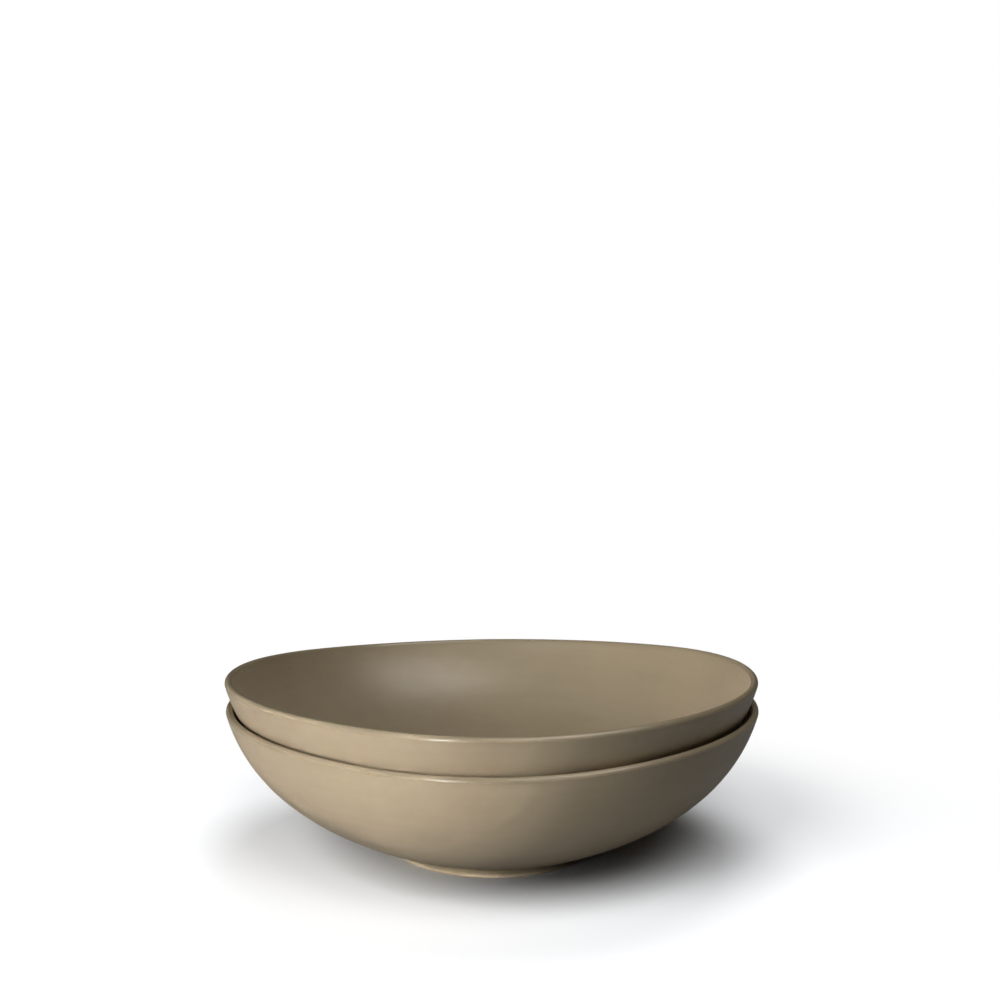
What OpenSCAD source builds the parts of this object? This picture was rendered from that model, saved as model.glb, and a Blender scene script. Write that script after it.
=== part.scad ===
// Two deep stoneware plates, the upper one nested in the lower one.
// Millimetres, +Z up. The origin is on the table, in the middle of the lower plate's foot.
// Each plate is a thrown body with a curved wall and a rounded lip, on a turned foot ring of bare clay.
// The rims are uneven, as hand-made ones are: waves in the plan and in the height fade out towards the foot.

/* [Plate] */
// Outside diameter of a plate at its rim
rim_d = 220; // [190:1:260]
// Height of a plate, from the foot to the top of the lip
plate_h = 60; // [50:0.5:75]
// Thickness of the rounded lip
lip_t = 3.3; // [2.4:0.1:5]
// Thickness of the floor in the middle
floor_t = 5; // [4:0.1:8]

/* [Wall outside] */
// Direction of the wall where it leaves the foot, in degrees above level
wall_start_angle = 19.5; // [14:0.5:24]
// Direction of the wall where it meets the lip, in degrees above level
wall_end_angle = 73; // [66:0.5:80]
// How far the wall keeps the direction it starts with
wall_start_pull = 39; // [30:1:44]
// How far the wall keeps the direction it ends with
wall_end_pull = 29; // [22:1:32]

/* [Wall inside] */
// How far the inside stays level from the middle
inside_start_pull = 58; // [48:1:62]
// How far the inside keeps the direction of the wall below the lip
inside_end_pull = 34; // [26:1:38]

/* [Foot ring] */
// Outside diameter of the foot ring
foot_d = 84; // [76:1:96]
// Height of the foot ring
foot_h = 3.3; // [2:0.1:6]
// Width of the foot ring, from its outside to its inside
foot_w = 6; // [4:0.5:10]
// Radius of the foot ring's two lower edges
foot_edge_r = 0.6; // [0.3:0.1:0.9]
// How far the wall overhangs the foot ring
foot_overhang = 0.5; // [0.2:0.1:1.5]

/* [Stack] */
// Clearance between the upper plate's foot and the inside of the lower plate
seat_gap = 0.3; // [0.2:0.05:0.6]
// How far the upper plate sits to the right of the lower one
stack_shift_x = -0.4; // [-0.8:0.1:0.8]
// How far the upper plate sits behind the lower one
stack_shift_y = -0.4; // [-0.8:0.1:0.8]

/* [Rim] */
// How uneven the rims are: 0 for true rims, 1 for the hand-made ones
unevenness = 1; // [0:0.1:1.4]

/* [Hidden] */

// Waves of the rims' plan: lobes around the rim, share of the rim's radius, degrees to a lobe
rim_plan_shares = [[1, 0.0067, 117], [2, 0.0072, -28], [3, 0.0108, 37], [4, 0.003, 0]];
// Waves of the rims' height: lobes around the rim, share of the plate's height, degrees to a lobe
lower_lift_shares = [[1, 0.0137, -39], [2, 0.0375, -2], [3, 0.0022, 40], [5, 0.0035, 20]];
upper_lift_shares = [[1, 0.0218, -52], [2, 0.0254, 5.5], [3, 0.0022, 40], [5, 0.0035, 20]];

// Facets around a plate and along the parts of its section
plate_sides = 90;
wall_steps = 14;
lip_steps = 8;
inside_steps = 15;
foot_sides = 120;

glaze_colour = [0.66, 0.60, 0.48];
clay_colour = [0.78, 0.67, 0.50];

rim_r = rim_d / 2;
lip_r = lip_t / 2;
foot_r = foot_d / 2;
wall_foot_r = foot_r + foot_overhang;
stack_shift = [stack_shift_x, stack_shift_y];

// The section of a plate, as points [radius, height]
function along(angle) = [cos(angle), sin(angle)];
function bezier(a, b, c, d, t) =
    pow(1 - t, 3) * a + 3 * pow(1 - t, 2) * t * b + 3 * (1 - t) * t * t * c + pow(t, 3) * d;

lip_middle = [rim_r - lip_r, plate_h - lip_r];
wall_start = [wall_foot_r, foot_h];
wall_end = lip_middle + lip_r * along(wall_end_angle - 90);
inside_start = lip_middle + lip_r * along(wall_end_angle + 90);
inside_end = [0, foot_h + floor_t];

function wall_at(t) = bezier(
    wall_start,
    wall_start + wall_start_pull * along(wall_start_angle),
    wall_end - wall_end_pull * along(wall_end_angle),
    wall_end,
    t);
function inside_at(t) = bezier(
    inside_start,
    inside_start - inside_end_pull * along(wall_end_angle),
    inside_end + [inside_start_pull, 0],
    inside_end,
    t);

wall_points = [for (i = [0:wall_steps]) wall_at(i / wall_steps)];
lip_points = [for (i = [1:lip_steps - 1])
    lip_middle + lip_r * along(wall_end_angle - 90 + 180 * i / lip_steps)];
inside_points = [for (i = [0:inside_steps - 1]) inside_at(i / inside_steps)];
section = concat(wall_points, lip_points, inside_points);

// The waves are whole at the rim and fade to nothing at the foot
function fade(r) = max(0, (r - wall_foot_r) / (rim_r - wall_foot_r));
function waves(shares, angle, i = 0) = i == len(shares) ? 0 :
    shares[i][1] * cos(shares[i][0] * (angle - shares[i][2])) + waves(shares, angle, i + 1);

function plate_point(p, angle, lift_shares) =
    let (share = unevenness * fade(p[0]))
    let (r = p[0] * (1 + share * waves(rim_plan_shares, angle)))
    [r * cos(angle), r * sin(angle), p[1] + share * plate_h * waves(lift_shares, angle)];

// Where the upper plate stands: its foot's rounded edge rests on the inside of the lower plate
inside_heights = [for (i = [0:inside_steps]) inside_at(i / inside_steps)];
function foot_edge_at(angle) = [foot_r - foot_edge_r, foot_edge_r] + foot_edge_r * along(angle);
seat_heights = [for (angle = [-90:10:0])
    let (p = foot_edge_at(angle)) lookup(p[0] + norm(stack_shift), inside_heights) - p[1]];
stack_pitch = max(seat_heights) + seat_gap;
echo(stack_pitch = stack_pitch);

module plate_body(lift_shares) {
    rings = len(section);
    under_pole = rings * plate_sides;
    inside_pole = under_pole + 1;
    points = concat(
        [for (p = section, k = [0:plate_sides - 1])
            plate_point(p, 360 * k / plate_sides, lift_shares)],
        [[0, 0, foot_h], [0, 0, inside_end[1]]]);
    function at(ring, k) = ring * plate_sides + k % plate_sides;
    sides = [for (ring = [0:rings - 2], k = [0:plate_sides - 1], half = [0, 1])
        half == 0 ? [at(ring, k), at(ring + 1, k), at(ring + 1, k + 1)]
                  : [at(ring, k), at(ring + 1, k + 1), at(ring, k + 1)]];
    under = [for (k = [0:plate_sides - 1]) [under_pole, at(0, k), at(0, k + 1)]];
    middle = [for (k = [0:plate_sides - 1]) [inside_pole, at(rings - 1, k + 1), at(rings - 1, k)]];
    color(glaze_colour) polyhedron(points, concat(sides, under, middle));
}

module foot_ring() {
    inner_r = foot_r - foot_w;
    color(clay_colour) rotate_extrude($fn = foot_sides) {
        for (r = [inner_r + foot_edge_r, foot_r - foot_edge_r])
            translate([r, foot_edge_r]) circle(foot_edge_r, $fn = 32);
        translate([inner_r + foot_edge_r, 0]) square([foot_w - 2 * foot_edge_r, foot_h]);
        translate([inner_r, foot_edge_r]) square([foot_w, foot_h - foot_edge_r]);
    }
}

module in_stack() {
    translate([stack_shift[0], stack_shift[1], stack_pitch]) children();
}

module lower_plate() {
    plate_body(lower_lift_shares);
}

module lower_foot_ring() {
    foot_ring();
}

module upper_plate() {
    in_stack() plate_body(upper_lift_shares);
}

module upper_foot_ring() {
    in_stack() foot_ring();
}

lower_plate();
lower_foot_ring();
upper_plate();
upper_foot_ring();
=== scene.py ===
"""Two nested deep plates of glazed stoneware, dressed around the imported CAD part, in a plain studio."""

import math

import bpy
from mathutils import Matrix, Vector


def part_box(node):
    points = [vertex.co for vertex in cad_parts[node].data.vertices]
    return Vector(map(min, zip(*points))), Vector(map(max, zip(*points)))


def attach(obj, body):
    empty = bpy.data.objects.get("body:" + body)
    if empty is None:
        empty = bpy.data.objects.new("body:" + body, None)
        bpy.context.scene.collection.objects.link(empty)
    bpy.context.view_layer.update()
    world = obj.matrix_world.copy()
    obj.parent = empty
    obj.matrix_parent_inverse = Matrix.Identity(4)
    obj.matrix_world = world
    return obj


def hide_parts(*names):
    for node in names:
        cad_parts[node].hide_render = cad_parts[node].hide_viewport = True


bl_info = {
    "name": "Nested deep plates",
    "version": (1, 0, 0),
    "blender": (4, 5, 0),
    "location": "3D View > Sidebar > Plates",
    "description": "Makes two nested deep plates of glazed stoneware and the studio around them",
    "category": "Object",
}

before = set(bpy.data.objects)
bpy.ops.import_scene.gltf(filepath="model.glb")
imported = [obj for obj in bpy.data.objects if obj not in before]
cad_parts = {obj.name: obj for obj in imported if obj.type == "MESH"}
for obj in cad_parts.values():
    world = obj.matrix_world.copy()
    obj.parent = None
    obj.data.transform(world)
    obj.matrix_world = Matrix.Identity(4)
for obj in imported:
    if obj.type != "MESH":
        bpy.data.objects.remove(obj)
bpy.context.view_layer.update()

MM = 0.001
LOWER_RING_LOW, LOWER_RING_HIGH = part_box("lower_foot_ring")
UPPER_RING_LOW, UPPER_RING_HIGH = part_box("upper_foot_ring")

# Waves of a rim: lobes around it, share of the rim's radius or of the plate's height, degrees to a lobe
RIM_PLAN_WAVES = ((1, 0.0067, 117), (2, 0.0072, -28), (3, 0.0108, 37), (4, 0.003, 0))
LOWER_LIFT_WAVES = ((1, 0.0137, -39), (2, 0.0375, -2), (3, 0.0022, 40), (5, 0.0035, 20))
UPPER_LIFT_WAVES = ((1, 0.0218, -52), (2, 0.0254, 5.5), (3, 0.0022, 40), (5, 0.0035, 20))

# How finely a plate is made: quads around it and along each part of its section
SIDES = 360
INSIDE_ROWS, LIP_ROWS, WALL_ROWS, UNDER_ROWS = 54, 16, 46, 6
RING_FLAT_ROWS, RING_EDGE_ROWS = 3, 6
SEAM_WIDTH = 0.001 * MM
SHARP_EDGE = math.radians(24)

# The crest attribute: 1 on top of the lip, CREST_EDGE at the lip's two edges, and from there down to 0
# between these shares of the way out along the inside and down the wall
CREST_EDGE = 0.5
CREST_INSIDE = (0.93, 1.0)
CREST_WALL = (0.06, 0.0)

# The dents of the plates, as noise per metre. Around the wall the throwing marks have MARK_STRETCH of
# their scale, so they run along it.
MARK_SCALE = 260
MARK_STRETCH = 0.06
HAND_SCALE = 26

# The glaze's patterns, as noise per metre
CLOUD_SCALE = 24
STREAK_SCALE = 420
STREAK_STRETCH = 0.05
MOTTLE_SCALE = 160
SKIN_SCALE = 1100
# The next scale breaks the painted shade on the lip's crest into patches
LIP_SHADE_SCALE = 30
SPECK_SCALE = 190

# How the patterns make the glaze: the shares of cloud, streak and mottle in its pooling, and between
# which levels each mask rises from 0 to 1
POOL_SHARES = (0.55, 0.25, 0.20)
POOL_STEP = (0.36, 0.66)
# The painted shade on the lip's crest: the levels of its mask's step, and how far it darkens the glaze
LIP_SHADE_STEP = (0.10, 0.60)
LIP_SHADE_SHARE = 0.40
SPECK_EDGE = (0.10, 0.05)
SPECK_CHOICE = (0.90, 0.93)
SPECK_SHARE = 0.55

# The glaze's gloss and relief
MOTTLE_GLOSS = 0.10
STREAK_GLOSS = 0.08
LIP_GLOSS = 0.17
RELIEF_SHARES = (0.5, 0.35, 0.15)
LIP_SMOOTHING = 0.9
GLAZE_RELIEF = {"Strength": 0.35, "Distance": 0.10 * MM}
IOR = 1.45

# The bare clay's patterns, as noise per metre, and its relief
GRAIN_SCALE = 1500
PATCH_SCALE = 60
TOAST_SHARES = (0.7, 0.3)
TOAST_STEP = (0.40, 0.66)
CLAY_RELIEF = {"Strength": 0.8, "Distance": 0.15 * MM}

# The glaze line on the foot ring: where the glaze grows thick and dark over it, which is partly painted
# shade under the wall's overhang, and how the line wanders
THICK_BELOW, THICK_ABOVE = 0.4 * MM, 1.2 * MM
THICK_SHARE = 0.8
WANDER_SCALE = 90
WANDER = 1.6 * MM
LINE_SOFTNESS = 0.3 * MM

# The camera's sensor, in millimetres, and the height on the plates' axis that camera and lamps go by
SENSOR_WIDTH = 36
TARGET_HEIGHT = 30 * MM

# Where the accent lamp points
ACCENT_TARGET = (0, -112 * MM, 28 * MM)

# The floor, and the distances from the plates' axis between which it fades to white for the camera
FLOOR_HALF_WIDTH = 6
FLOOR_FADE = (0.11, 0.26)


def length(name, default, description):
    """A property for a size in metres."""
    return bpy.props.FloatProperty(
        name=name, description=description, default=default, min=0, unit="LENGTH", precision=4)


def angle(name, degrees, description):
    """A property for an angle."""
    return bpy.props.FloatProperty(
        name=name, description=description, default=math.radians(degrees), subtype="ANGLE")


def share(name, default, description, most=1):
    """A property for a share or a strength."""
    return bpy.props.FloatProperty(
        name=name, description=description, default=default, min=0, max=most, subtype="FACTOR")


def power(name, default, description):
    """A property for a lamp's power in watts."""
    return bpy.props.FloatProperty(
        name=name, description=description, default=default, min=0, unit="POWER")


def colour(name, default, description):
    """A property for a colour, in linear light."""
    return bpy.props.FloatVectorProperty(
        name=name, description=description, default=default, min=0, max=1, subtype="COLOR")


class PlateSizes(bpy.types.PropertyGroup):
    """The sizes that both plates share."""

    rim_diameter: length("Rim diameter", 220 * MM, "Outside diameter of a plate at its rim")
    height: length("Height", 60 * MM, "Height of a plate, from the foot to the top of the lip")
    lip_thickness: length("Lip thickness", 3.3 * MM, "Thickness of the rounded lip")
    floor_thickness: length("Floor thickness", 5 * MM, "Thickness of the floor in the middle")
    wall_start_angle: angle("Wall angle at the foot", 19.5, "Rise of the wall where it leaves the foot")
    wall_end_angle: angle("Wall angle at the lip", 73, "Rise of the wall where it meets the lip")
    wall_start_pull: length(
        "Outside pull at the foot", 39 * MM, "How far the wall keeps its first direction")
    wall_end_pull: length("Outside pull at the lip", 29 * MM, "How far the wall keeps its last direction")
    inside_start_pull: length("Inside pull in the middle", 58 * MM, "How far the inside stays level")
    inside_end_pull: length(
        "Inside pull at the lip", 34 * MM, "How far the inside follows the wall's angle")
    foot_diameter: length("Foot diameter", 84 * MM, "Outside diameter of the foot ring")
    foot_height: length("Foot height", 3.3 * MM, "Height of the foot ring")
    foot_width: length("Foot width", 6 * MM, "Width of the foot ring")
    foot_edge: length("Foot edge radius", 0.6 * MM, "Radius of the foot ring's lower edges")
    foot_overhang: length("Overhang", 0.5 * MM, "How far the wall stands out over the foot ring")
    unevenness: share("Unevenness", 1, "0 for true rims, 1 for the hand-made ones", 1.4)
    throwing_marks: length("Throwing marks", 0.10 * MM, "Depth of the marks that run around the walls")
    hand_waves: length("Hand waves", 0.20 * MM, "Depth of the soft dents between the marks")


class Finishes(bpy.types.PropertyGroup):
    """The colours and the gloss of glaze and clay."""

    glaze: colour("Glaze", (0.440, 0.358, 0.240), "Main colour of the glaze")
    glaze_pooled: colour("Pooled glaze", (0.405, 0.330, 0.220), "Colour where the glaze lies thick")
    # Painted shade: this colour darkens the lip's crest so that the lip looks shaded
    lip_painted_shade: colour("Thin glaze", (0.300, 0.240, 0.155), "Colour where the glaze is thin, on the lip")
    # Thick glaze on the foot ring's upper part, darkened further as painted shade under the wall's
    # overhang
    glaze_thick_and_shade: colour(
        "Thick glaze", (0.215, 0.172, 0.098), "Colour where the glaze gathers on the foot ring")
    speck: colour("Specks", (0.200, 0.145, 0.080), "Colour of the iron specks")
    glaze_roughness: share("Glaze roughness", 0.37, "How matte the glaze is")
    clay: colour("Bare clay", (0.560, 0.465, 0.300), "Colour of the bare clay")
    clay_dark: colour("Toasted clay", (0.500, 0.380, 0.235), "Colour of the clay that the kiln toasted")
    clay_roughness: share("Clay roughness", 0.85, "How matte the bare clay is")
    glaze_line: length("Glaze line", 1.0 * MM, "Height on the foot ring where the glaze ends")


class Studio(bpy.types.PropertyGroup):
    """The floor, the lamps and the camera."""

    floor: colour("Floor", (0.885, 0.898, 0.915), "Colour of the floor, as the camera sees it")
    floor_return: colour(
        "Floor's return", (0.175, 0.175, 0.175), "Colour with which the floor lights the plates")
    key_power: power("Key lamp", 17.0, "Power of the low lamp at the left that lights the plates")
    key_side: angle("Key side", 220, "Direction to the key lamp, from +X towards +Y")
    key_rise: angle("Key rise", 9, "Height of the key lamp above the table, as an angle")
    key_size: length("Key size", 0.7, "Width of the key lamp")
    top_power: power("Top lamp", 5.6, "Power of the high lamp that lights the plates")
    top_side: angle("Top side", 311, "Direction to the top lamp, from +X towards +Y")
    top_rise: angle("Top rise", 73, "Height of the top lamp above the table, as an angle")
    top_size: length("Top size", 0.5, "Width of the top lamp")
    sheen_power: power(
        "Sheen lamp", 8.6, "Power of the wide lamp that only makes the reflection inside the plate")
    sheen_side: angle("Sheen side", 319, "Direction to the sheen lamp, from +X towards +Y")
    sheen_rise: angle("Sheen rise", 61, "Height of the sheen lamp above the table, as an angle")
    sheen_size: length("Sheen size", 0.9, "Width of the sheen lamp")
    gloss_power: power("Gloss lamp", 8.5, "Power of the small lamp that only makes the lips' glints")
    gloss_side: angle("Gloss side", 247, "Direction to the gloss lamp, from +X towards +Y")
    gloss_rise: angle("Gloss rise", 11, "Height of the gloss lamp above the table, as an angle")
    gloss_size: length("Gloss size", 0.15, "Width of the gloss lamp")
    accent_power: power("Accent lamp", 0.050, "Power of the narrow lamp that lights the plates' front")
    accent_side: angle("Accent side", 201, "Direction to the accent lamp, from +X towards +Y")
    accent_rise: angle("Accent rise", 10, "Height of the accent lamp above the table, as an angle")
    accent_size: length("Accent size", 0.08, "Width of the accent lamp")
    accent_spread: angle("Accent spread", 10, "Width of the accent lamp's beam")
    fill_power: power("Fill lamp", 5.0, "Power of the low lamp behind the plates")
    fill_side: angle("Fill side", 88, "Direction to the fill lamp, from +X towards +Y")
    fill_rise: angle("Fill rise", 9, "Height of the fill lamp above the table, as an angle")
    fill_size: length("Fill size", 0.7, "Width of the fill lamp")
    low_power: power("Low lamp", 5.5, "Power of the lowest lamp that lights the floor")
    low_side: angle("Low side", 225, "Direction to the low lamp, from +X towards +Y")
    low_rise: angle("Low rise", 12, "Height of the low lamp above the table, as an angle")
    low_size: length("Low size", 0.7, "Width of the low lamp")
    left_power: power("Left lamp", 15.6, "Power of the left lamp that lights the floor")
    left_side: angle("Left side", 234, "Direction to the left lamp, from +X towards +Y")
    left_rise: angle("Left rise", 35, "Height of the left lamp above the table, as an angle")
    left_size: length("Left size", 0.7, "Width of the left lamp")
    front_power: power("Front lamp", 7.8, "Power of the front lamp that lights the floor")
    front_side: angle("Front side", 285, "Direction to the front lamp, from +X towards +Y")
    front_rise: angle("Front rise", 50, "Height of the front lamp above the table, as an angle")
    front_size: length("Front size", 0.7, "Width of the front lamp")
    back_power: power("Back lamp", 7.8, "Power of the high back lamp that lights the floor")
    back_side: angle("Back side", 70, "Direction to the back lamp, from +X towards +Y")
    back_rise: angle("Back rise", 75, "Height of the back lamp above the table, as an angle")
    back_size: length("Back size", 0.7, "Width of the back lamp")
    lamp_distance: length("Lamp distance", 1.3, "Distance from the plates to each lamp")
    sky: share("Sky light", 0, "Strength of the even light from all around", 2)
    camera_distance: length("Camera distance", 520 * MM, "Distance from the camera to the plates' middle")
    camera_rise: angle("Camera rise", 15.2764, "Angle of the camera's place above the table")
    camera_tilt: angle("Camera tilt", 2.442, "How far the camera looks down")
    camera_turn: angle("Camera turn", 0.2756, "How far the camera looks to the right")
    camera_roll: angle("Camera roll", 0.156, "How far the camera leans")
    camera_lens: bpy.props.FloatProperty(
        name="Lens", description="Focal length in millimetres", default=43.1236, min=1)


class Value:
    """A number that a node gives out. Python's operators on it add Math nodes."""

    def __init__(self, board, socket):
        self.board = board
        self.socket = socket

    def math(self, operation, *others):
        """The result of a Math node on this value and the others."""
        return self.board.math(operation, self, *others)

    def __add__(self, other):
        return self.math("ADD", other)

    def __radd__(self, other):
        return self.board.math("ADD", other, self)

    def __sub__(self, other):
        return self.math("SUBTRACT", other)

    def __rsub__(self, other):
        return self.board.math("SUBTRACT", other, self)

    def __mul__(self, other):
        return self.math("MULTIPLY", other)

    def __rmul__(self, other):
        return self.board.math("MULTIPLY", other, self)

    def __truediv__(self, other):
        return self.math("DIVIDE", other)

    def __rtruediv__(self, other):
        return self.board.math("DIVIDE", other, self)

    def __neg__(self):
        return self.math("MULTIPLY", -1)


class Board:
    """A node tree, and the one way in which this script adds nodes to it."""

    def __init__(self, tree):
        self.tree = tree

    def node(self, kind, settings=None, inputs=None):
        """Adds a node: first its settings, then the values or links of its sockets."""
        made = self.tree.nodes.new(kind)
        for name, setting in (settings or {}).items():
            setattr(made, name, setting)
        for name, given in (inputs or {}).items():
            self.put(given, made.inputs[name])
        return made

    def put(self, given, socket):
        """Links a value or a socket to a socket, or sets a plain number, colour or vector on it."""
        if isinstance(given, Value):
            given = given.socket
        if isinstance(given, bpy.types.NodeSocket):
            self.tree.links.new(given, socket)
        elif socket.type == "RGBA" and len(given) == 3:
            socket.default_value = (*given, 1)
        else:
            socket.default_value = given

    def value(self, socket):
        """A socket as a value for sums."""
        return Value(self, socket)

    def math(self, operation, *values):
        """A Math node's result."""
        made = self.node("ShaderNodeMath", {"operation": operation}, dict(enumerate(values)))
        return Value(self, made.outputs[0])

    def vector(self, x, y, z):
        """Three numbers as a vector."""
        return self.node("ShaderNodeCombineXYZ", inputs={0: x, 1: y, 2: z}).outputs[0]

    def smooth(self, value, low, high):
        """0 below low, 1 above high, and a soft step between."""
        made = self.node(
            "ShaderNodeMapRange", {"interpolation_type": "SMOOTHSTEP"},
            {"Value": value, "From Min": low, "From Max": high})
        return Value(self, made.outputs[0])

    def mix(self, amount, first, second):
        """A colour between two."""
        made = self.node("ShaderNodeMix", {"data_type": "RGBA"})
        colour_sockets = [s for s in made.inputs if s.type == "RGBA"]
        self.put(amount, made.inputs[0])
        self.put(first, colour_sockets[0])
        self.put(second, colour_sockets[1])
        return next(s for s in made.outputs if s.type == "RGBA")

    def noise(self, place, scale, detail=2.0, roughness=0.5):
        """Soft noise around a half."""
        made = self.node(
            "ShaderNodeTexNoise", {"noise_dimensions": "3D"},
            {"Vector": place, "Scale": scale, "Detail": detail, "Roughness": roughness})
        return Value(self, made.outputs[0])


def curve_at(t, start, start_pull, end_pull, end):
    """One coordinate of a cubic curve, at t from 0 to 1."""
    rest = 1 - t
    return (rest * rest * rest * start + 3 * rest * rest * t * start_pull
            + 3 * rest * t * t * end_pull + t * t * t * end)


class Lathe(Board):
    """A Geometry Nodes tree that turns parts of a section around the upright axis."""

    def __init__(self, name):
        super().__init__(bpy.data.node_groups.new(name, "GeometryNodeTree"))
        self.tree.interface.new_socket("Geometry", in_out="INPUT", socket_type="NodeSocketGeometry")
        self.tree.interface.new_socket("Geometry", in_out="OUTPUT", socket_type="NodeSocketGeometry")
        self.start = self.node("NodeGroupInput")
        self.parts = []

    def size(self, name):
        """A named input for a size, as a value."""
        self.tree.interface.new_socket(name, in_out="INPUT", socket_type="NodeSocketFloat")
        return self.value(self.start.outputs[name])

    def place(self, name):
        """A named input for a place, as a socket."""
        self.tree.interface.new_socket(name, in_out="INPUT", socket_type="NodeSocketVector")
        return self.start.outputs[name]

    def finish_input(self, name):
        """A named input for a material, as a socket."""
        self.tree.interface.new_socket(name, in_out="INPUT", socket_type="NodeSocketMaterial")
        return self.start.outputs[name]

    def turn(self, rows, section, crest=0.0, shape=None):
        """Adds the part of the section that section(t) gives as radius and height, in so many rows."""
        grid = self.node(
            "GeometryNodeMeshGrid", inputs={"Vertices X": rows + 1, "Vertices Y": SIDES + 1})
        spot = self.node(
            "ShaderNodeSeparateXYZ", inputs={0: self.node("GeometryNodeInputPosition").outputs[0]})
        # The grid is 1 by 1 around the origin, so t runs from 0 to 1
        t = self.value(spot.outputs[0]) + 0.5
        around = (self.value(spot.outputs[1]) + 0.5) * (2 * math.pi)
        radius, height = section(t)
        if shape:
            radius, height = shape(radius, height, around)
        spread = self.node("GeometryNodeSetPosition", inputs={
            "Geometry": grid.outputs[0],
            "Position": self.vector(
                radius * around.math("COSINE"), radius * around.math("SINE"), height)})
        marked = self.node(
            "GeometryNodeStoreNamedAttribute", {"data_type": "FLOAT", "domain": "POINT"},
            {"Geometry": spread.outputs[0], "Name": "crest"})
        self.put(crest(t) if callable(crest) else crest, self.float_input(marked))
        self.parts.append(marked.outputs[0])

    @staticmethod
    def float_input(node):
        """A node's enabled number input."""
        return next(s for s in node.inputs if s.type == "VALUE" and s.enabled)

    def close(self, place, material, dent=None):
        """Joins the parts, closes seams and poles, dents the surface, places it and ends the tree."""
        joined = self.node("GeometryNodeJoinGeometry")
        for part in self.parts:
            self.tree.links.new(part, joined.inputs[0])
        body = self.node(
            "GeometryNodeMergeByDistance", inputs={"Geometry": joined.outputs[0], "Distance": SEAM_WIDTH})
        shift = place
        if dent:
            normal = self.node("GeometryNodeInputNormal").outputs[0]
            position = self.node("GeometryNodeInputPosition").outputs[0]
            inward = self.node(
                "ShaderNodeVectorMath", {"operation": "SCALE"},
                {"Vector": normal, "Scale": -dent(position)})
            shift = self.node(
                "ShaderNodeVectorMath", {"operation": "ADD"},
                {0: inward.outputs[0], 1: place}).outputs[0]
        moved = self.node("GeometryNodeSetPosition", inputs={"Geometry": body.outputs[0], "Offset": shift})
        smooth = self.node(
            "GeometryNodeSetShadeSmooth", {"domain": "FACE"},
            {"Geometry": moved.outputs[0], "Shade Smooth": True})
        bend = self.value(self.node("GeometryNodeInputMeshEdgeAngle").outputs[0])
        sharp = self.node("FunctionNodeCompare", {"data_type": "FLOAT", "operation": "GREATER_THAN"},
                          {0: bend, 1: SHARP_EDGE})
        edged = self.node(
            "GeometryNodeSetShadeSmooth", {"domain": "EDGE"},
            {"Geometry": smooth.outputs[0], "Selection": sharp.outputs[0], "Shade Smooth": False})
        real = self.node("GeometryNodeRealizeInstances", inputs={"Geometry": edged.outputs[0]})
        dressed = self.node(
            "GeometryNodeSetMaterial", inputs={"Geometry": real.outputs[0], "Material": material})
        self.node("NodeGroupOutput", inputs={"Geometry": dressed.outputs[0]})


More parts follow.
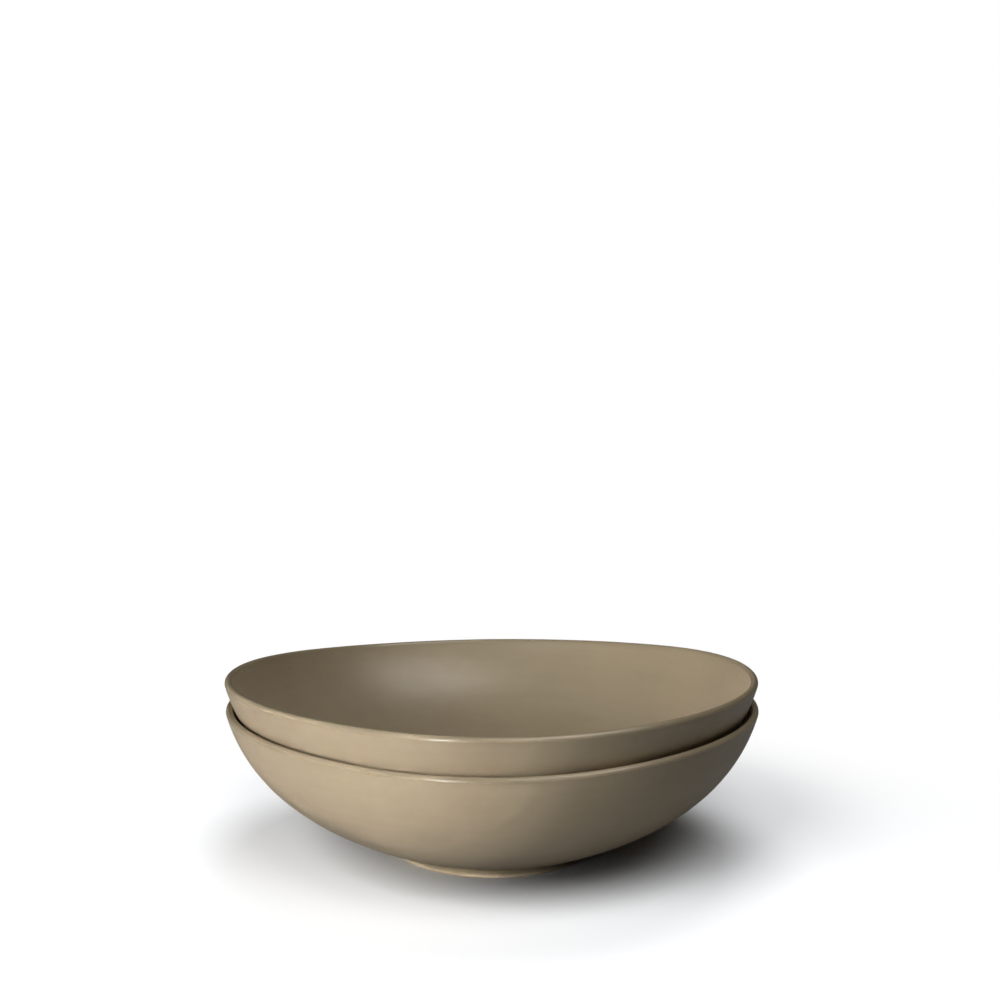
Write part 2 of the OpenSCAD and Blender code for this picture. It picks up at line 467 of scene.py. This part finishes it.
def plate_lathe(plan_waves, lift_waves):
    """The tree of a plate: inside, rounded lip, curved wall and underside, with an uneven rim."""
    lathe = Lathe("plate_section")
    rim_r = lathe.size("Rim radius")
    height = lathe.size("Height")
    lip_r = lathe.size("Lip radius")
    floor_t = lathe.size("Floor thickness")
    start_angle = lathe.size("Wall angle at the foot")
    end_angle = lathe.size("Wall angle at the lip")
    wall_start_pull = lathe.size("Outside pull at the foot")
    wall_end_pull = lathe.size("Outside pull at the lip")
    inside_start_pull = lathe.size("Inside pull in the middle")
    inside_end_pull = lathe.size("Inside pull at the lip")
    wall_foot_r = lathe.size("Wall radius at the foot")
    foot_h = lathe.size("Foot height")
    unevenness = lathe.size("Unevenness")
    marks = lathe.size("Throwing marks")
    hand = lathe.size("Hand waves")
    place = lathe.place("Place")
    material = lathe.finish_input("Glaze")

    rise_across, rise_up = end_angle.math("COSINE"), end_angle.math("SINE")
    lip_middle_r, lip_middle_z = rim_r - lip_r, height - lip_r
    wall_end = (lip_middle_r + lip_r * rise_up, lip_middle_z - lip_r * rise_across)
    inside_start = (lip_middle_r - lip_r * rise_up, lip_middle_z + lip_r * rise_across)
    floor_z = foot_h + floor_t

    def inside(t):
        return (
            curve_at(t, 0, inside_start_pull,
                     inside_start[0] - inside_end_pull * rise_across, inside_start[0]),
            curve_at(t, floor_z, floor_z, inside_start[1] - inside_end_pull * rise_up, inside_start[1]))

    def lip(t):
        turn = end_angle + math.pi / 2 - t * math.pi
        return lip_middle_r + lip_r * turn.math("COSINE"), lip_middle_z + lip_r * turn.math("SINE")

    def wall(t):
        return (
            curve_at(t, wall_end[0], wall_end[0] - wall_end_pull * rise_across,
                     wall_foot_r + wall_start_pull * start_angle.math("COSINE"), wall_foot_r),
            curve_at(t, wall_end[1], wall_end[1] - wall_end_pull * rise_up,
                     foot_h + wall_start_pull * start_angle.math("SINE"), foot_h))

    def under(t):
        return wall_foot_r * (1 - t), foot_h

    def waves(rows, around):
        total = 0
        for lobes, size, turn in rows:
            total = total + size * (around * lobes - math.radians(lobes * turn)).math("COSINE")
        return total

    def uneven(radius, up, around):
        fade = ((radius - wall_foot_r) / (rim_r - wall_foot_r)).math("MAXIMUM", 0) * unevenness
        return (radius * (1 + fade * waves(plan_waves, around)),
                up + fade * height * waves(lift_waves, around))

    def dent(position):
        spot = lathe.node("ShaderNodeSeparateXYZ", inputs={0: position})
        flat = lathe.vector(lathe.value(spot.outputs[0]) * MARK_STRETCH,
                            lathe.value(spot.outputs[1]) * MARK_STRETCH, spot.outputs[2])
        fine = lathe.noise(flat, MARK_SCALE, 1)
        broad = lathe.noise(position, HAND_SCALE, 1)
        return marks * fine + hand * broad

    def lip_crest(t):
        return CREST_EDGE + (1 - CREST_EDGE) * (t * math.pi).math("SINE")

    lathe.turn(INSIDE_ROWS, inside, lambda t: lathe.smooth(t, *CREST_INSIDE) * CREST_EDGE, uneven)
    lathe.turn(LIP_ROWS, lip, lip_crest, uneven)
    lathe.turn(WALL_ROWS, wall, lambda t: lathe.smooth(t, *CREST_WALL) * CREST_EDGE, uneven)
    lathe.turn(UNDER_ROWS, under)
    lathe.close(place, material, dent)
    return lathe.tree


def foot_lathe():
    """The tree of a foot ring: a square section with two rounded lower edges."""
    lathe = Lathe("foot_section")
    outer_r = lathe.size("Outer radius")
    inner_r = lathe.size("Inner radius")
    height = lathe.size("Height")
    edge_r = lathe.size("Edge radius")
    place = lathe.place("Place")
    material = lathe.finish_input("Clay")

    def line(start, end):
        return lambda t: (start[0] + (end[0] - start[0]) * t, start[1] + (end[1] - start[1]) * t)

    def edge(middle, first_angle):
        def at(t):
            turn = first_angle - t * (math.pi / 2)
            return middle[0] + edge_r * turn.math("COSINE"), middle[1] + edge_r * turn.math("SINE")
        return at

    lathe.turn(RING_FLAT_ROWS, line((inner_r, height), (outer_r, height)))
    lathe.turn(RING_FLAT_ROWS, line((outer_r, height), (outer_r, edge_r)))
    lathe.turn(RING_EDGE_ROWS, edge((outer_r - edge_r, edge_r), 0))
    lathe.turn(RING_FLAT_ROWS, line((outer_r - edge_r, 0), (inner_r + edge_r, 0)))
    lathe.turn(RING_EDGE_ROWS, edge((inner_r + edge_r, edge_r), -math.pi / 2))
    lathe.turn(RING_FLAT_ROWS, line((inner_r, edge_r), (inner_r, height)))
    lathe.close(place, material)
    return lathe.tree


def lathe_piece(name, tree, inputs):
    """Runs a lathe's tree with these inputs and keeps the result as a plain mesh."""
    piece = bpy.data.objects.new(name, bpy.data.meshes.new(name))
    bpy.context.scene.collection.objects.link(piece)
    modifier = piece.modifiers.new("lathe", "NODES")
    modifier.node_group = tree
    identifiers = {
        item.name: item.identifier for item in tree.interface.items_tree if item.in_out == "INPUT"}
    for label, given in inputs.items():
        modifier[identifiers[label]] = given
    graph = bpy.context.evaluated_depsgraph_get()
    mesh = bpy.data.meshes.new_from_object(
        piece.evaluated_get(graph), preserve_all_data_layers=True, depsgraph=graph)
    piece.modifiers.remove(modifier)
    piece.data = mesh
    mesh.name = name
    if not mesh.polygons:
        raise RuntimeError(f"the tree of {name} made no surface")
    return piece


def new_material(name):
    """An empty material, and the board of its nodes."""
    material = bpy.data.materials.new(name)
    material.use_nodes = True
    material.node_tree.nodes.clear()
    return material, Board(material.node_tree)


def object_place(board, stretch=(1, 1, 1)):
    """The point on the surface, stretched for a pattern."""
    place = board.node("ShaderNodeTexCoord").outputs["Object"]
    return board.node(
        "ShaderNodeMapping", {"vector_type": "POINT"},
        {"Vector": place, "Scale": stretch}).outputs[0]


def glaze_surface(board, finishes, thick=0):
    """Satin glaze: clouds, streaks around the wall, a glossy lip darkened by painted shade, iron specks,
    and dark where thick, which on the foot ring is partly painted shade.
    """
    place = object_place(board)
    around = object_place(board, (STREAK_STRETCH, STREAK_STRETCH, 1))
    cloud = board.noise(place, CLOUD_SCALE, 3)
    streak = board.noise(around, STREAK_SCALE, 2)
    mottle = board.noise(place, MOTTLE_SCALE, 2, 0.6)
    pooled = board.smooth(
        cloud * POOL_SHARES[0] + streak * POOL_SHARES[1] + mottle * POOL_SHARES[2], *POOL_STEP)
    colour_now = board.mix(pooled, finishes.glaze, finishes.glaze_pooled)
    crest = board.value(board.node(
        "ShaderNodeAttribute", {"attribute_name": "crest", "attribute_type": "GEOMETRY"}).outputs["Fac"])
    # Painted shade on the lip's crest, broken into patches by noise
    painted_lip_shade = crest * board.smooth(board.noise(place, LIP_SHADE_SCALE, 1), *LIP_SHADE_STEP)
    colour_now = board.mix(painted_lip_shade * LIP_SHADE_SHARE, colour_now, finishes.lip_painted_shade)
    # Dark glaze on the foot ring: partly thick glaze, partly painted shade under the wall's overhang
    colour_now = board.mix(thick, colour_now, finishes.glaze_thick_and_shade)
    cells = board.node(
        "ShaderNodeTexVoronoi", {"feature": "F1"},
        {"Vector": place, "Scale": SPECK_SCALE, "Randomness": 1.0})
    near = board.smooth(board.value(cells.outputs["Distance"]), *SPECK_EDGE)
    draw = board.node("ShaderNodeSeparateColor", inputs={0: cells.outputs["Color"]})
    chosen = board.smooth(board.value(draw.outputs[0]), *SPECK_CHOICE)
    colour_now = board.mix(near * chosen * SPECK_SHARE, colour_now, finishes.speck)
    roughness = (finishes.glaze_roughness + (mottle - 0.5) * MOTTLE_GLOSS
                 + (streak - 0.5) * STREAK_GLOSS - crest * LIP_GLOSS)
    skin = board.noise(place, SKIN_SCALE, 2)
    grain = streak * RELIEF_SHARES[0] + mottle * RELIEF_SHARES[1] + skin * RELIEF_SHARES[2]
    height = grain * (1 - crest * LIP_SMOOTHING)
    relief = board.node("ShaderNodeBump", inputs={**GLAZE_RELIEF, "Height": height})
    return board.node("ShaderNodeBsdfPrincipled", inputs={
        "Base Color": colour_now, "Roughness": roughness, "IOR": IOR, "Normal": relief.outputs[0]})


def clay_surface(board, finishes):
    """Bare clay: sandy grain, toasted patches."""
    place = object_place(board)
    grain = board.noise(place, GRAIN_SCALE, 3, 0.7)
    patch = board.noise(place, PATCH_SCALE, 3)
    toasted = board.smooth(patch * TOAST_SHARES[0] + grain * TOAST_SHARES[1], *TOAST_STEP)
    colour_now = board.mix(toasted, finishes.clay, finishes.clay_dark)
    relief = board.node("ShaderNodeBump", inputs={**CLAY_RELIEF, "Height": grain})
    return board.node("ShaderNodeBsdfPrincipled", inputs={
        "Base Color": colour_now, "Roughness": finishes.clay_roughness, "IOR": IOR,
        "Normal": relief.outputs[0]})


def glaze_material(finishes):
    """The material of the plates."""
    material, board = new_material("khaki_glaze")
    surface = glaze_surface(board, finishes)
    board.node("ShaderNodeOutputMaterial", inputs={"Surface": surface.outputs[0]})
    return material


def foot_material(finishes, foot_bottom):
    """The material of a foot ring: bare clay below, and above a wandering line thick glaze darkened by
    painted shade.
    """
    material, board = new_material("foot_clay")
    place = object_place(board)
    up = board.value(board.node("ShaderNodeSeparateXYZ", inputs={0: place}).outputs[2])
    line = foot_bottom + finishes.glaze_line
    # Thick and dark above the glaze line: partly painted shade under the wall's overhang
    thick = board.smooth(up, line - THICK_BELOW, line + THICK_ABOVE)
    glazed, bare = glaze_surface(board, finishes, thick * THICK_SHARE), clay_surface(board, finishes)
    wander = (board.noise(place, WANDER_SCALE, 2) - 0.5) * WANDER
    above = board.smooth(up + wander, line - LINE_SOFTNESS, line + LINE_SOFTNESS)
    surface = board.node("ShaderNodeMixShader", inputs={
        0: above, 1: bare.outputs[0], 2: glazed.outputs[0]})
    board.node("ShaderNodeOutputMaterial", inputs={"Surface": surface.outputs[0]})
    return material


def ring_middle(low, high):
    """The middle of a foot ring's lower side, from its CAD box."""
    return Vector(((low.x + high.x) / 2, (low.y + high.y) / 2, low.z))


def make_plate(name, node, body, middle, lift_waves, sizes, finishes):
    """Makes one plate at its place in the stack."""
    plate = lathe_piece(name, plate_lathe(RIM_PLAN_WAVES, lift_waves), {
        "Rim radius": sizes.rim_diameter / 2,
        "Height": sizes.height,
        "Lip radius": sizes.lip_thickness / 2,
        "Floor thickness": sizes.floor_thickness,
        "Wall angle at the foot": sizes.wall_start_angle,
        "Wall angle at the lip": sizes.wall_end_angle,
        "Outside pull at the foot": sizes.wall_start_pull,
        "Outside pull at the lip": sizes.wall_end_pull,
        "Inside pull in the middle": sizes.inside_start_pull,
        "Inside pull at the lip": sizes.inside_end_pull,
        "Wall radius at the foot": sizes.foot_diameter / 2 + sizes.foot_overhang,
        "Foot height": sizes.foot_height,
        "Unevenness": sizes.unevenness,
        "Throwing marks": sizes.throwing_marks,
        "Hand waves": sizes.hand_waves,
        "Place": middle,
        "Glaze": glaze_material(finishes),
    })
    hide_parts(node)
    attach(plate, body)


def make_foot(name, node, body, middle, sizes, finishes):
    """Makes one foot ring at its place in the stack."""
    foot = lathe_piece(name, foot_lathe(), {
        "Outer radius": sizes.foot_diameter / 2,
        "Inner radius": sizes.foot_diameter / 2 - sizes.foot_width,
        "Height": sizes.foot_height,
        "Edge radius": sizes.foot_edge,
        "Place": middle,
        "Clay": foot_material(finishes, middle.z),
    })
    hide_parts(node)
    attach(foot, body)


def aim(thing, place, target):
    """Puts a lamp at a place and turns it towards a target."""
    thing.location = place
    thing.rotation_euler = (target - place).to_track_quat("-Z", "Y").to_euler()


class PLATES_OT_camera(bpy.types.Operator):
    """Makes the camera at the photograph's viewing angle"""

    bl_idname = "plates.camera"
    bl_label = "Camera"

    def execute(self, context):
        studio = context.scene.plates_studio
        camera = bpy.data.objects.new("camera", bpy.data.cameras.new("camera"))
        context.scene.collection.objects.link(camera)
        camera.data.sensor_width = SENSOR_WIDTH
        camera.data.lens = studio.camera_lens
        rise, tilt, turn, roll = (
            studio.camera_rise, studio.camera_tilt, studio.camera_turn, studio.camera_roll)
        place = Vector((0, -studio.camera_distance * math.cos(rise),
                        TARGET_HEIGHT + studio.camera_distance * math.sin(rise)))
        ahead = Vector((math.sin(turn) * math.cos(tilt), math.cos(turn) * math.cos(tilt), -math.sin(tilt)))
        right = Vector((math.cos(turn), -math.sin(turn), 0))
        above = right.cross(ahead)
        leaned_right = right * math.cos(roll) + above * math.sin(roll)
        leaned_above = above * math.cos(roll) - right * math.sin(roll)
        camera.matrix_world = Matrix.Translation(place) @ Matrix(
            (leaned_right, leaned_above, -ahead)).transposed().to_4x4()
        context.scene.camera = camera
        return {"FINISHED"}


class PLATES_OT_lower(bpy.types.Operator):
    """Makes the lower plate and its foot ring"""

    bl_idname = "plates.lower"
    bl_label = "Lower plate"

    def execute(self, context):
        sizes, finishes = context.scene.plates_sizes, context.scene.plates_finishes
        middle = ring_middle(LOWER_RING_LOW, LOWER_RING_HIGH)
        make_plate(
            "lower_plate_glazed", "lower_plate", "lower", middle, LOWER_LIFT_WAVES, sizes, finishes)
        make_foot("lower_foot", "lower_foot_ring", "lower", middle, sizes, finishes)
        return {"FINISHED"}


class PLATES_OT_upper(bpy.types.Operator):
    """Makes the upper plate and its foot ring"""

    bl_idname = "plates.upper"
    bl_label = "Upper plate"

    def execute(self, context):
        sizes, finishes = context.scene.plates_sizes, context.scene.plates_finishes
        middle = ring_middle(UPPER_RING_LOW, UPPER_RING_HIGH)
        make_plate(
            "upper_plate_glazed", "upper_plate", "upper", middle, UPPER_LIFT_WAVES, sizes, finishes)
        make_foot("upper_foot", "upper_foot_ring", "upper", middle, sizes, finishes)
        return {"FINISHED"}


class PLATES_OT_stage(bpy.types.Operator):
    """Makes the floor, the lamps and the world"""

    bl_idname = "plates.stage"
    bl_label = "Studio"

    def execute(self, context):
        studio = context.scene.plates_studio
        floor = self.make_floor(context, studio)
        top = self.make_lamp(context, studio, "top", floor, "EXCLUDE")
        sheen = self.make_lamp(context, studio, "sheen", floor, "EXCLUDE")
        gloss = self.make_lamp(context, studio, "gloss", floor, "EXCLUDE")
        for lamp in (sheen, gloss):  # these only make reflections
            lamp.visible_diffuse = False
        key = self.make_lamp(context, studio, "key", floor, "EXCLUDE")
        accent = self.make_lamp(context, studio, "accent", floor, "EXCLUDE", ACCENT_TARGET)
        accent.data.spread = studio.accent_spread
        fill = self.make_lamp(context, studio, "fill", floor, "EXCLUDE")
        for lamp in (top, key, accent, fill):  # these make none
            lamp.visible_glossy = False
        for name in ("low", "left", "front", "back"):
            self.make_lamp(context, studio, name, floor, "INCLUDE")
        self.make_world(context, studio)
        context.scene.view_settings.view_transform = "Standard"
        return {"FINISHED"}

    @staticmethod
    def make_floor(context, studio):
        """A floor that the camera sees pale, and white away from the plates; other rays see it dim."""
        half = FLOOR_HALF_WIDTH
        corners = [(-half, -half, 0), (half, -half, 0), (half, half, 0), (-half, half, 0)]
        mesh = bpy.data.meshes.new("floor")
        mesh.from_pydata(corners, [], [(0, 1, 2, 3)])
        floor = bpy.data.objects.new("floor", mesh)
        context.scene.collection.objects.link(floor)
        material, board = new_material("studio_floor")
        place = board.node("ShaderNodeTexCoord").outputs["Object"]
        away = board.value(board.node(
            "ShaderNodeVectorMath", {"operation": "LENGTH"}, {0: place}).outputs["Value"])
        seen = board.value(board.node("ShaderNodeLightPath").outputs["Is Camera Ray"])
        white = board.smooth(away, *FLOOR_FADE) * seen
        pale = board.node("ShaderNodeBsdfDiffuse", inputs={"Color": studio.floor})
        dim = board.node("ShaderNodeBsdfDiffuse", inputs={"Color": studio.floor_return})
        lit = board.node(
            "ShaderNodeMixShader", inputs={0: seen, 1: dim.outputs[0], 2: pale.outputs[0]})
        glow = board.node("ShaderNodeEmission", inputs={"Color": (1, 1, 1), "Strength": 1.0})
        surface = board.node(
            "ShaderNodeMixShader", inputs={0: white, 1: lit.outputs[0], 2: glow.outputs[0]})
        board.node("ShaderNodeOutputMaterial", inputs={"Surface": surface.outputs[0]})
        mesh.materials.append(material)
        return floor

    @staticmethod
    def make_lamp(context, studio, name, floor, link, target=(0, 0, TARGET_HEIGHT)):
        """A square lamp that lights only the floor (INCLUDE), or everything but the floor (EXCLUDE)."""
        light = bpy.data.lights.new(name, "AREA")
        light.shape = "SQUARE"
        light.size = getattr(studio, name + "_size")
        light.energy = getattr(studio, name + "_power")
        lamp = bpy.data.objects.new(name, light)
        context.scene.collection.objects.link(lamp)
        target = Vector(target)
        side, rise = getattr(studio, name + "_side"), getattr(studio, name + "_rise")
        way = Vector((math.cos(side) * math.cos(rise), math.sin(side) * math.cos(rise), math.sin(rise)))
        aim(lamp, target + way * studio.lamp_distance, target)
        reach = bpy.data.collections.new(name + "_reach")
        reach.objects.link(floor)
        reach.collection_objects[0].light_linking.link_state = link
        lamp.light_linking.receiver_collection = reach
        return lamp

    @staticmethod
    def make_world(context, studio):
        """A white background for the camera, and the sky's even light for all other rays."""
        world = bpy.data.worlds.new("studio_white")
        world.use_nodes = True
        world.node_tree.nodes.clear()
        board = Board(world.node_tree)
        seen = board.value(board.node("ShaderNodeLightPath").outputs["Is Camera Ray"])
        strength = studio.sky + seen * (1 - studio.sky)
        surface = board.node("ShaderNodeBackground", inputs={"Color": (1, 1, 1), "Strength": strength})
        board.node("ShaderNodeOutputWorld", inputs={"Surface": surface.outputs[0]})
        context.scene.world = world


class PLATES_PT_panel(bpy.types.Panel):
    """The panel that lists the sizes, the finishes, the studio and the pieces"""

    bl_idname = "PLATES_PT_panel"
    bl_label = "Nested deep plates"
    bl_space_type = "VIEW_3D"
    bl_region_type = "UI"
    bl_category = "Plates"

    def draw(self, context):
        for group_name in GROUPS:
            group = getattr(context.scene, group_name)
            box = self.layout.box()
            for name in group.__annotations__:
                box.prop(group, name)
        for operator in OPERATORS:
            self.layout.operator(operator.bl_idname)


GROUPS = {"plates_sizes": PlateSizes, "plates_finishes": Finishes, "plates_studio": Studio}
OPERATORS = (PLATES_OT_camera, PLATES_OT_lower, PLATES_OT_upper, PLATES_OT_stage)


def register():
    """Registers the groups of properties, the operators and the panel."""
    for name, group in GROUPS.items():
        bpy.utils.register_class(group)
        setattr(bpy.types.Scene, name, bpy.props.PointerProperty(type=group))
    for kind in (*OPERATORS, PLATES_PT_panel):
        bpy.utils.register_class(kind)


def unregister():
    """Takes back what register added."""
    for kind in reversed((*OPERATORS, PLATES_PT_panel)):
        bpy.utils.unregister_class(kind)
    for name, group in GROUPS.items():
        delattr(bpy.types.Scene, name)
        bpy.utils.unregister_class(group)


def main():
    """Registers everything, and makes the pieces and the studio."""
    register()
    bpy.ops.plates.camera()
    bpy.ops.plates.lower()
    bpy.ops.plates.upper()
    bpy.ops.plates.stage()


if __name__ == "__main__":
    main()
